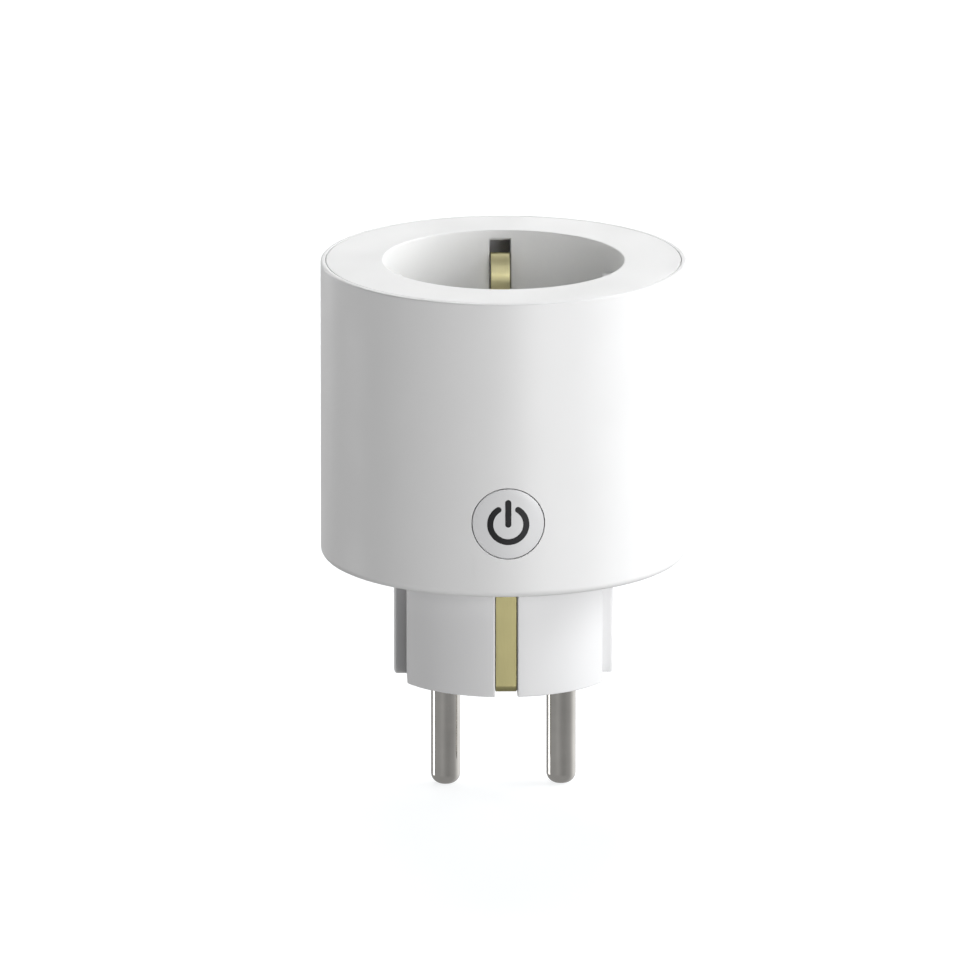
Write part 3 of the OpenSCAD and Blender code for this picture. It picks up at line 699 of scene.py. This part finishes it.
def make_symbol():
    """The power symbol: a broken ring with round ends and a bar, set into the cap."""
    line = 1.0
    ring_r = 2.95
    gap = 33
    rise = 0.02
    sunk = 0.3
    bar_low, bar_high = -0.5, ring_r + 1.2
    middle = SYMBOL_TOP - bar_high
    turns = [math.radians(gap + (360 - 2 * gap) * k / 96) for k in range(97)]
    ring = [Vector((ring_r * math.sin(a), ring_r * math.cos(a))) for a in turns]
    stick = [Vector((0, bar_low + line / 2 + (bar_high - bar_low - line) * k / 8)) for k in range(9)]
    bm = bmesh.new()
    for path in (ring, stick):
        rings = []
        for left, right in stroke(path, line / 2):
            front = [left.lerp(right, k / 6) for k in range(7)]
            loop = [bm.verts.new((p.x, on_housing(p.x, rise), middle + p.y)) for p in front]
            loop += [bm.verts.new((p.x, on_housing(p.x, -sunk), middle + p.y)) for p in reversed(front)]
            rings.append(loop)
        skin(bm, rings, closed=False)
        bm.faces.new(rings[0])
        bm.faces.new(rings[-1])
    piece = new_piece("symbol", bm)
    shade(piece)
    place(piece, "button", "power_symbol", "symbol_plastic", SYMBOL)


# ---- CAD parts that stay ----

def smooth_by_angle(angle):
    """A node group that smooths faces and keeps edges above the angle sharp."""
    group = bpy.data.node_groups.new("smooth_by_angle", "GeometryNodeTree")
    group.interface.new_socket("Geometry", in_out="INPUT", socket_type="NodeSocketGeometry")
    group.interface.new_socket("Geometry", in_out="OUTPUT", socket_type="NodeSocketGeometry")
    start = group.nodes.new("NodeGroupInput")
    end = group.nodes.new("NodeGroupOutput")
    faces = group.nodes.new("GeometryNodeSetShadeSmooth")
    edges = group.nodes.new("GeometryNodeSetShadeSmooth")
    edges.domain = "EDGE"
    edges.inputs["Shade Smooth"].default_value = False
    angles = group.nodes.new("GeometryNodeInputMeshEdgeAngle")
    above = group.nodes.new("ShaderNodeMath")
    above.operation = "GREATER_THAN"
    above.inputs[1].default_value = math.radians(angle)
    group.links.new(start.outputs[0], faces.inputs["Geometry"])
    group.links.new(faces.outputs["Geometry"], edges.inputs["Geometry"])
    group.links.new(angles.outputs["Unsigned Angle"], above.inputs[0])
    group.links.new(above.outputs[0], edges.inputs["Selection"])
    group.links.new(edges.outputs["Geometry"], end.inputs[0])
    return group


SMOOTH = smooth_by_angle(32)


def soften(node, width):
    """Rounds a CAD part's sharp edges by modifiers, and shades its curves smoothly."""
    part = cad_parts[node]
    weld = part.modifiers.new("weld", "WELD")
    weld.merge_threshold = 2e-6
    bevel = part.modifiers.new("round", "BEVEL")
    bevel.width = width * MM
    bevel.segments = 2
    bevel.limit_method = "ANGLE"
    bevel.angle_limit = math.radians(40)
    bevel.use_clamp_overlap = True
    sharp = part.modifiers.new("smooth", "NODES")
    sharp.node_group = SMOOTH
    even = part.modifiers.new("even_normals", "WEIGHTED_NORMAL")
    even.keep_sharp = True
    even.weight = 90


def dress(material, nodes, width=0.1):
    """Gives CAD parts a material, and softens their edges by a width in millimetres."""
    for node in nodes:
        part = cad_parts[node]
        part.data.materials.clear()
        part.data.materials.append(material)
        soften(node, width)


make_housing()
make_socket()
make_plug()
make_pin("live_pin", -1)
make_pin("neutral_pin", 1)
make_spring()
make_button()
make_symbol()

# The straps take the brass darkened as painted shade.
dress(STRAP_BRASS_PAINTED_SHADE, ["earth_strap_front", "earth_strap_back", "earth_bridge"], 0.08)
dress(CLIP_BRASS, ["earth_clip_front", "earth_clip_back"], 0.08)
dress(CONTACT, ["live_contact", "neutral_contact", "live_busbar", "metering_shunt",
    "relay_moving_contact", "relay_fixed_contact"])
dress(CARRIER, ["contact_carrier", "shutter"], 0.2)
dress(STEEL, ["housing_screws", "board_screws", "relay_yoke", "relay_armature", "wifi_shield"], 0.08)
dress(SOLDER, ["solder_joints"])
dress(BOARD, ["main_board", "control_board"])
dress(MODULE, ["wifi_module"])
dress(BLACK, ["switch_plunger", "tact_switch", "header_strip", "power_chip", "relay_base"])
dress(BLUE, ["relay_case"], 0.3)
dress(COPPER, ["relay_coil"])
dress(SLEEVE, ["electrolytic_capacitor"], 0.3)
dress(FILM, ["film_capacitor"], 0.5)
dress(EPOXY, ["varistor"], 0.3)
dress(COATING, ["fuse_resistor"], 0.3)
dress(FERRITE, ["power_inductor"], 0.2)
dress(RESIN, ["status_leds"])


# ---- Floor, light and camera ----

PANEL_DISTANCE = 0.9
BELOW = 0.34


def make_floor():
    """A wide floor, bright by itself, that takes faint shadows and throws no light back on the object."""
    bm = bmesh.new()
    half = 9000
    corners = ((-half, -half), (half, -half), (half, half), (-half, half))
    bm.faces.new([bm.verts.new((x, y, PIN_TIP)) for x, y in corners])
    floor = new_piece("floor", bm)
    shader = Shader("floor_white", (0.35, 0.35, 0.35), 0.9, specular=0.0)
    shader.surface.inputs["Emission Color"].default_value = (0.975, 0.99, 1, 1)
    shader.surface.inputs["Emission Strength"].default_value = 0.765
    floor.data.materials.append(shader.material)
    floor.visible_diffuse = False
    floor.visible_glossy = False
    floor.visible_shadow = False


def softbox(name, azimuth, elevation, size, power, color=(1, 1, 1)):
    """A panel in metres and watts that faces the object; azimuth 0 is the camera's side, 90 is +X."""
    light = bpy.data.lights.new(name, "AREA")
    light.shape = "RECTANGLE"
    light.size, light.size_y = size
    light.energy = power
    light.color = color
    lamp = bpy.data.objects.new(name, light)
    bpy.context.scene.collection.objects.link(lamp)
    a, e = math.radians(azimuth), math.radians(elevation)
    way = Vector((math.sin(a) * math.cos(e), -math.cos(a) * math.cos(e), math.sin(e)))
    lamp.location = (cad_low + cad_high) / 2 + way * PANEL_DISTANCE
    lamp.rotation_euler = way.to_track_quat("Z", "Y").to_euler()


def make_world():
    """Soft light from below, dimmer in front and brighter behind. The camera sees plain white."""
    world = bpy.data.worlds.new("studio")
    world.use_nodes = True
    bpy.context.scene.world = world
    tree = world.node_tree

    def maths(operation, a, b, clamp=False):
        """One step of arithmetic on numbers or node outputs."""
        step = tree.nodes.new("ShaderNodeMath")
        step.operation = operation
        step.use_clamp = clamp
        for socket, value in zip(step.inputs, (a, b)):
            if isinstance(value, (int, float)):
                socket.default_value = value
            else:
                tree.links.new(value, socket)
        return step.outputs[0]

    way = tree.nodes.new("ShaderNodeSeparateXYZ")
    tree.links.new(tree.nodes.new("ShaderNodeTexCoord").outputs["Generated"], way.inputs[0])
    below = maths("MULTIPLY", way.outputs["Z"], -8, clamp=True)

    def lobe(azimuth, sharpness, strength):
        """Strongest towards one side, and nothing at a right angle to it."""
        a = math.radians(azimuth)
        across = maths("MULTIPLY", way.outputs["X"], math.sin(a))
        along = maths("MULTIPLY", way.outputs["Y"], -math.cos(a))
        toward = maths("ADD", across, along, clamp=True)
        return maths("MULTIPLY", maths("POWER", toward, sharpness), strength)

    level = maths("ADD", lobe(130, 4, 0.75), BELOW)
    level = maths("ADD", level, lobe(20, 10, -0.11))
    level = maths("ADD", level, lobe(-28, 20, 0.09))
    glow = maths("MULTIPLY", below, level)
    seen = tree.nodes.new("ShaderNodeLightPath").outputs["Is Camera Ray"]
    tree.links.new(maths("MAXIMUM", glow, seen), tree.nodes["Background"].inputs["Strength"])
    tree.nodes["Background"].inputs["Color"].default_value = (1, 1, 1, 1)


def make_lights():
    """Large panels: the key from the right, a narrow front one, and rims from the left and behind."""
    cool = (0.98, 0.99, 1)
    softbox("key", 90, 22, (0.4, 0.6), 6.1, cool)
    softbox("key_back", 120, 22, (0.4, 0.6), 3.0, cool)
    softbox("front", 20, 4, (0.3, 0.5), 4.95)
    softbox("left", -109, -2, (0.3, 0.7), 1.6)
    softbox("rim", -139, 12, (0.34, 0.76), 2.9)
    softbox("high_back", 180, 48, (0.5, 0.5), 5.7)
    softbox("high_front", 0, 48, (0.5, 0.5), 0.7)
    bpy.context.scene.view_settings.view_transform = "Standard"


def make_camera():
    """A long lens, a little to the left of the front and about 15 degrees above."""
    azimuth, elevation = math.radians(-1.5), math.radians(14.6)
    distance = 5.0
    aim_left, aim_up = 3.84, 6.8
    back = Vector((math.sin(azimuth) * math.cos(elevation), -math.cos(azimuth) * math.cos(elevation),
        math.sin(elevation)))
    data = bpy.data.cameras.new("camera")
    data.sensor_width = 36
    data.lens = 1141
    camera = bpy.data.objects.new("camera", data)
    bpy.context.scene.collection.objects.link(camera)
    turn = (-back).to_track_quat("-Z", "Y")
    right = turn @ Vector((1, 0, 0))
    up = turn @ Vector((0, 1, 0))
    middle = (cad_low + cad_high) / 2
    camera.location = middle + back * distance + (up * aim_up - right * aim_left) * MM
    camera.rotation_mode = "QUATERNION"
    camera.rotation_quaternion = turn
    bpy.context.scene.camera = camera


make_floor()
make_world()
make_lights()
make_camera()
